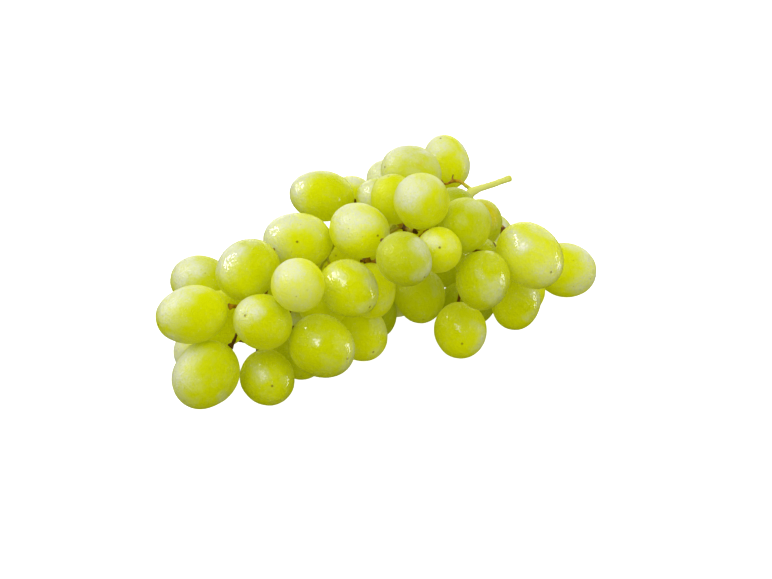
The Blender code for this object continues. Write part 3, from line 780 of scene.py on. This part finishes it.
# how fresh the stem is at places along it: across, up, height (seenPlace), freshness
stemTones = (
    (52.9, 47.4, 45.0, 0.84), (51.0, 46.8, 45.0, 0.95), (47.0, 45.3, 45.0, 0.95),
    (43.0, 44.0, 45.0, 0.97), (39.5, 42.9, 45.0, 1.00), (37.2, 41.8, 44.8, 0.97),
    (34.6, 39.6, 43.0, 0.95), (32.8, 37.0, 40.5, 0.90),
    # the dried side stalk and its thorn
    (34.6, 44.0, 45.0, 0.62), (33.2, 44.9, 45.2, 0.50), (31.4, 46.1, 45.4, 0.45),
    (29.0, 46.4, 45.4, 0.24), (28.4, 48.5, 45.4, 0.14), (26.2, 45.1, 45.4, 0.32),
    (23.6, 44.7, 45.6, 0.12),
    # in the gap under the top grapes, and the empty seat there
    (8.6, 22.0, 38.0, 0.56), (7.9, 26.2, 43.5, 0.14), (10.6, 25.0, 45.5, 0.56),
    (13.2, 24.2, 47.0, 0.12), (6.4, 28.8, 44.8, 0.56), (3.4, 29.7, 45.5, 0.58),
    (0.9, 30.4, 46.0, 0.12), (3.0, 27.0, 47.4, 0.72),
    # the main stem and a side stalk in the gaps left of them
    (-7.2, 11.7, 38.0, 0.42), (-22.8, 18.0, 42.0, 0.70), (-25.0, 14.0, 40.0, 0.72),
    (-27.3, 10.5, 38.0, 0.70),
    # to the grapes of the near shoulder
    (42.0, 29.4, 33.5, 0.30), (45.6, 29.2, 36.0, 0.34), (48.4, 27.7, 38.0, 0.40),
    (49.8, 26.5, 39.0, 0.40), (44.6, 21.6, 33.0, 0.22), (46.4, 18.4, 35.0, 0.18),
    (47.5, 15.2, 37.5, 0.12),
    # at the low end
    (-57.5, -8.2, 37.5, 0.22), (-63.0, -7.2, 40.5, 0.36), (-65.8, -7.2, 41.5, 0.28),
    (-59.6, -13.4, 32.0, 0.20), (-63.4, -18.6, 30.0, 0.14), (-64.6, -21.6, 28.6, 0.14),
)


def makeStemSkin(look):
    made = Finish("greenAndBrownStem")
    places = made.places()
    patches = made.noise(places, look["patchScale"], 3.0, 0.6)
    fine = made.noise(places, look["fineScale"], 3.0, 0.6)
    fresh = made.own("fresh") + (patches - 0.5) * 0.35 + (fine - 0.5) * 0.15
    coloured = made.node("ShaderNodeValToRGB", {"stops": look["stops"]}, {"Fac": fresh})
    bump = made.node(
        "ShaderNodeBump", {},
        {"Strength": 0.5, "Distance": look["bumpDepth"], "Height": fine + patches},
    )
    return made.shader({
        "Base Color": coloured,
        "Roughness": 0.50 + fine * 0.15,
        "Normal": bump,
        "Specular IOR Level": 0.10,
        "Specular Tint": (1.0, 0.95, 0.6, 1.0),
        "Subsurface Weight": 0.30,
        "Subsurface Radius": (1.0, 0.9, 0.3),
        "Subsurface Scale": 0.0015,
    })


def freshness(places, tones, usual):
    # each mark counts for more the nearer it is
    total = np.full(len(places), 0.0002)
    wanted = total * usual
    for across, up, height, fresh in tones:
        mark = np.array(seenPlace(across, up, height))
        away = np.linalg.norm(places - mark, axis=1) / millimetre
        weight = 1.0 / (away ** 2 + 0.3) ** 2
        total = total + weight
        wanted = wanted + weight * fresh
    return wanted / total


def makeStem(look):
    merged = mergedCopy(nodes["stem"].data)
    mesh = bpy.data.meshes.new("woodyStem")
    merged.to_mesh(mesh)
    merged.free()
    stem = bpy.data.objects.new("woodyStem", mesh)
    bpy.context.scene.collection.objects.link(stem)
    remesh = stem.modifiers.new("remesh", "REMESH")
    remesh.mode = "VOXEL"
    remesh.voxel_size = look["voxel"]
    applyModifier(stem, remesh)
    smooth = stem.modifiers.new("smooth", "SMOOTH")
    smooth.factor = look["smoothing"]
    smooth.iterations = look["smoothingTurns"]
    applyModifier(stem, smooth)
    bark = stem.modifiers.new("bark", "DISPLACE")
    barkTexture = bpy.data.textures.new("barkTexture", "CLOUDS")
    barkTexture.noise_scale = look["barkSize"]
    bark.texture = barkTexture
    bark.texture_coords = "LOCAL"
    bark.mid_level = 0.35
    bark.strength = look["bark"]
    applyModifier(stem, bark)
    onlyActive(stem)
    bpy.ops.object.shade_smooth()
    setNumbers(mesh, "fresh", freshness(placesOf(mesh), stemTones, look["usual"]))
    mesh.materials.clear()
    mesh.materials.append(makeStemSkin(look))
    return stem


woodyStem = makeStem(stemLook)
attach(woodyStem, "root")
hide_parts("stem")
print("stem made,", len(woodyStem.data.polygons), "faces")


# floor, light and world

floorLook = {
    "size": 12.0,
    "colour": (0.66, 0.66, 0.66),
    "glow": 1.0,              # keeps the pale table white in soft light
    "roughness": 0.85,
    "paperScale": 40.0,
}


def makeFloor(look):
    bpy.ops.mesh.primitive_plane_add(size=look["size"], location=(0.0, 0.0, 0.0))
    floor = bpy.context.object
    floor.name = "paleFloor"
    made = Finish("paleFloor")
    paper = made.noise(made.places(), look["paperScale"])
    floor.data.materials.append(made.shader({
        "Base Color": look["colour"],
        "Roughness": look["roughness"] + paper * 0.05,
        "Emission Color": (1.0, 1.0, 1.0),
        "Emission Strength": look["glow"],
    }))
    # the bunch shades the table it lies on, so little light comes back up from it
    floor.visible_diffuse = False
    floor.visible_glossy = False
    return floor


# way to the light as the camera sees it (right, up, near), metres away, width, height
# and watts: the matt ones light the flesh, and the glossy ones only make highlights
mattLights = {
    "keyLight": ((-0.74, 0.60, 0.30), 1.1, 0.9, 0.8, 1.4),
    "frontFill": ((0.05, 0.25, 0.95), 1.2, 1.2, 1.0, 7.0),
    "backLight": ((0.10, 0.80, -0.60), 1.2, 1.6, 0.8, 5.0),
}
glossyLights = {
    "keyPanel": ((-0.77, 0.56, 0.28), 1.1, 0.85, 0.75, 26.0),
    "sidePanel": ((0.97, 0.05, -0.05), 1.0, 0.40, 0.6, 6.0),
    "backPanel": ((0.0, 0.60, -0.80), 1.3, 2.4, 0.7, 8.0),
}


def softLight(name, way, away, width, height, power, matt=True, gloss=True):
    data = bpy.data.lights.new(name, "AREA")
    data.shape = "RECTANGLE"
    data.size = width
    data.size_y = height
    data.energy = power
    light = bpy.data.objects.new(name, data)
    bpy.context.scene.collection.objects.link(light)
    light.location = viewTarget + pictureWay(*way) * away
    light.rotation_euler = (-pictureWay(*way)).to_track_quat("-Z", "Y").to_euler()
    light.visible_diffuse = matt
    light.visible_glossy = gloss
    return light


# daylight from all round: dim under and in front of the bunch, bright above and behind
skyLook = {
    "least": 0.30,
    "fromAbove": 0.40,
    "fromBehind": 0.10,
    "horizon": (-0.5, 0.3),
}


def makeSky(look):
    world = bpy.data.worlds.new("studioWorld")
    bpy.context.scene.world = world
    world.use_nodes = True
    surround = Finish("surround", world.node_tree)
    above = surround.facing((0.0, 0.0, 1.0)).between(*look["horizon"])
    behind = surround.facing(pictureWay(0.0, 0.0, -1.0)).between(-1.0, 1.0)
    daylight = above * look["fromAbove"] + behind * look["fromBehind"] + look["least"]
    sky = world.node_tree.nodes["Background"]
    join(world.node_tree, sky.inputs["Color"], (1.0, 1.0, 1.0))
    join(world.node_tree, sky.inputs["Strength"], daylight)
    world.cycles_visibility.glossy = False


makeFloor(floorLook)
for name, settings in mattLights.items():
    softLight(name, *settings, gloss=False)
for name, settings in glossyLights.items():
    softLight(name, *settings, matt=False)
makeSky(skyLook)
bpy.context.scene.view_settings.view_transform = "Standard"
print("floor and lights set")
